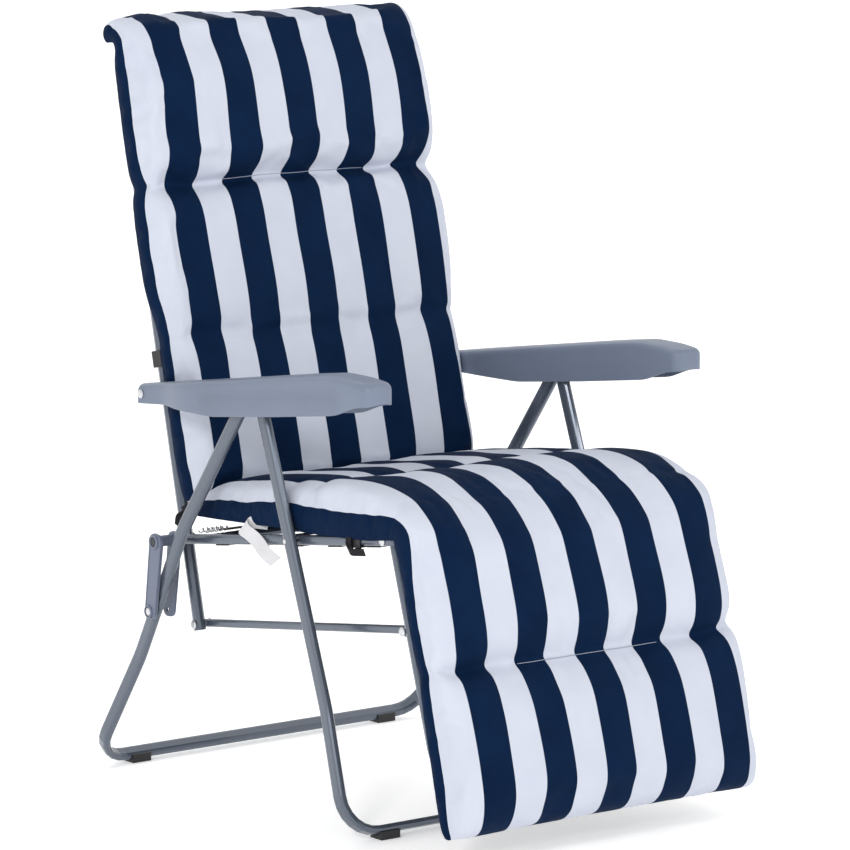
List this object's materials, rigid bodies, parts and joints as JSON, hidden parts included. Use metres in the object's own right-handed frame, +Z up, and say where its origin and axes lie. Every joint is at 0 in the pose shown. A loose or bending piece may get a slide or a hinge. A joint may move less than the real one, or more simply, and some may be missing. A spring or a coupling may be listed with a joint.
{
  "type": "reclining sun lounger",
  "caption": "Folding garden relaxer with a tube frame, striped pad, hollow armrests with notched stops and a footrest that rises as the backrest goes back.",
  "frame": {"origin": "bottom centre of the bounding box, on the floor under the chair", "axes": "+Z up, the sitter faces -Y, +X is the sitter's left"},
  "size_m": [0.6016, 0.8694, 1.105],
  "materials": {
    "frame_paint": "blue-grey powder coat, satin",
    "armrest_plastic": "light blue-grey moulded plastic",
    "link_plastic": "blue-grey moulded plastic",
    "black_plastic": "black moulded plastic and woven tape",
    "bolt_steel": "bright zinc-plated steel",
    "elastic_strap": "black woven elastic",
    "cushion_cloth": "woven polyester, navy and white lengthwise stripes, navy side gusset",
    "label_cloth": "blank white satin label"
  },
  "bodies": {
    "seat": {"seat_frame": "frame_paint", "seat_rear_bar": "frame_paint", "seat_strap_1": "elastic_strap", "seat_strap_2": "elastic_strap", "seat_strap_3": "elastic_strap", "seat_strap_4": "elastic_strap", "seat_strap_5": "elastic_strap", "back_pivot_bolt_left": "bolt_steel", "back_pivot_bolt_right": "bolt_steel", "front_leg_bolt_left": "bolt_steel", "front_leg_bolt_right": "bolt_steel", "footrest_bolt_left": "bolt_steel", "footrest_bolt_right": "bolt_steel", "seat_cushion": "cushion_cloth", "knee_cushion": "cushion_cloth", "seat_tie_left": "black_plastic", "seat_tie_right": "black_plastic", "care_label": "label_cloth"},
    "front_legs": {"front_leg_frame": "frame_paint", "front_foot_left": "black_plastic", "front_foot_right": "black_plastic", "leg_top_pin_left": "bolt_steel", "leg_top_pin_right": "bolt_steel"},
    "rear_legs": {"rear_leg_frame": "frame_paint", "rear_foot_left": "black_plastic", "rear_foot_right": "black_plastic"},
    "hinge_links": {"hinge_link_left": "link_plastic", "hinge_link_right": "link_plastic", "hinge_link_bolt_left": "bolt_steel", "hinge_link_bolt_right": "bolt_steel"},
    "backrest": {"backrest_frame": "frame_paint", "backrest_lower_bar": "frame_paint", "back_strap_1": "elastic_strap", "back_strap_2": "elastic_strap", "back_strap_3": "elastic_strap", "back_strap_4": "elastic_strap", "back_strap_5": "elastic_strap", "back_strap_6": "elastic_strap", "back_cushion": "cushion_cloth", "head_cushion": "cushion_cloth", "back_tie_left": "black_plastic", "back_tie_right": "black_plastic", "armrest_bolt_left": "bolt_steel", "armrest_bolt_right": "bolt_steel", "link_rear_bolt_left": "bolt_steel", "link_rear_bolt_right": "bolt_steel"},
    "footrest": {"footrest_frame": "frame_paint", "footrest_strap_1": "elastic_strap", "footrest_strap_2": "elastic_strap", "footrest_strap_3": "elastic_strap", "footrest_cushion": "cushion_cloth", "link_front_bolt_left": "bolt_steel", "link_front_bolt_right": "bolt_steel"},
    "footrest_links": {"footrest_link_left": "frame_paint", "footrest_link_right": "frame_paint"},
    "armrest_left": {"armrest_left": "armrest_plastic", "armrest_rack_left": "armrest_plastic"},
    "armrest_right": {"armrest_right": "armrest_plastic", "armrest_rack_right": "armrest_plastic"}
  },
  "joints": [
    {"name": "leg_fold", "type": "hinge", "parent": "seat", "child": "front_legs", "pos_m": [0, -0.04485, 0.4005], "axis": [-1, 0, 0], "range_deg": [-97, 0]},
    {"name": "rear_leg_fold", "type": "hinge", "parent": "front_legs", "child": "rear_legs", "pos_m": [0, 0.03265, 0.598], "axis": [-1, 0, 0], "range_deg": [0, 60]},
    {"name": "hinge_link_swing", "type": "hinge", "parent": "seat", "child": "hinge_links", "pos_m": [0, 0.25265, 0.3585], "axis": [-1, 0, 0], "range_deg": [0, 86]},
    {"name": "recline", "type": "hinge", "parent": "seat", "child": "backrest", "pos_m": [0, 0.25265, 0.3585], "axis": [-1, 0, 0], "range_deg": [0, 40]},
    {"name": "footrest_lift", "type": "hinge", "parent": "seat", "child": "footrest", "pos_m": [0, -0.24935, 0.4294], "axis": [-1, 0, 0], "range_deg": [0, 40], "deforming": ["knee_cushion"]},
    {"name": "link_swing", "type": "hinge", "parent": "backrest", "child": "footrest_links", "pos_m": [0, 0.22388, 0.23583], "axis": [-1, 0, 0], "range_deg": [-40, 0]},
    {"name": "armrest_left_tilt", "type": "hinge", "parent": "backrest", "child": "armrest_left", "pos_m": [0, 0.30156, 0.56704], "axis": [-1, 0, 0], "range_deg": [-31, 0]},
    {"name": "armrest_right_tilt", "type": "hinge", "parent": "backrest", "child": "armrest_right", "pos_m": [0, 0.30156, 0.56704], "axis": [-1, 0, 0], "range_deg": [-31, 0]}
  ],
  "couplings": [
    {"joint": "rear_leg_fold", "follows": "leg_fold", "ratio": -0.5937},
    {"joint": "hinge_link_swing", "follows": "leg_fold", "ratio": -0.852},
    {"joint": "footrest_lift", "follows": "recline", "ratio": 1},
    {"joint": "link_swing", "follows": "recline", "ratio": -1},
    {"joint": "armrest_left_tilt", "follows": "recline", "ratio": -0.768},
    {"joint": "armrest_right_tilt", "follows": "recline", "ratio": -0.768}
  ]
}
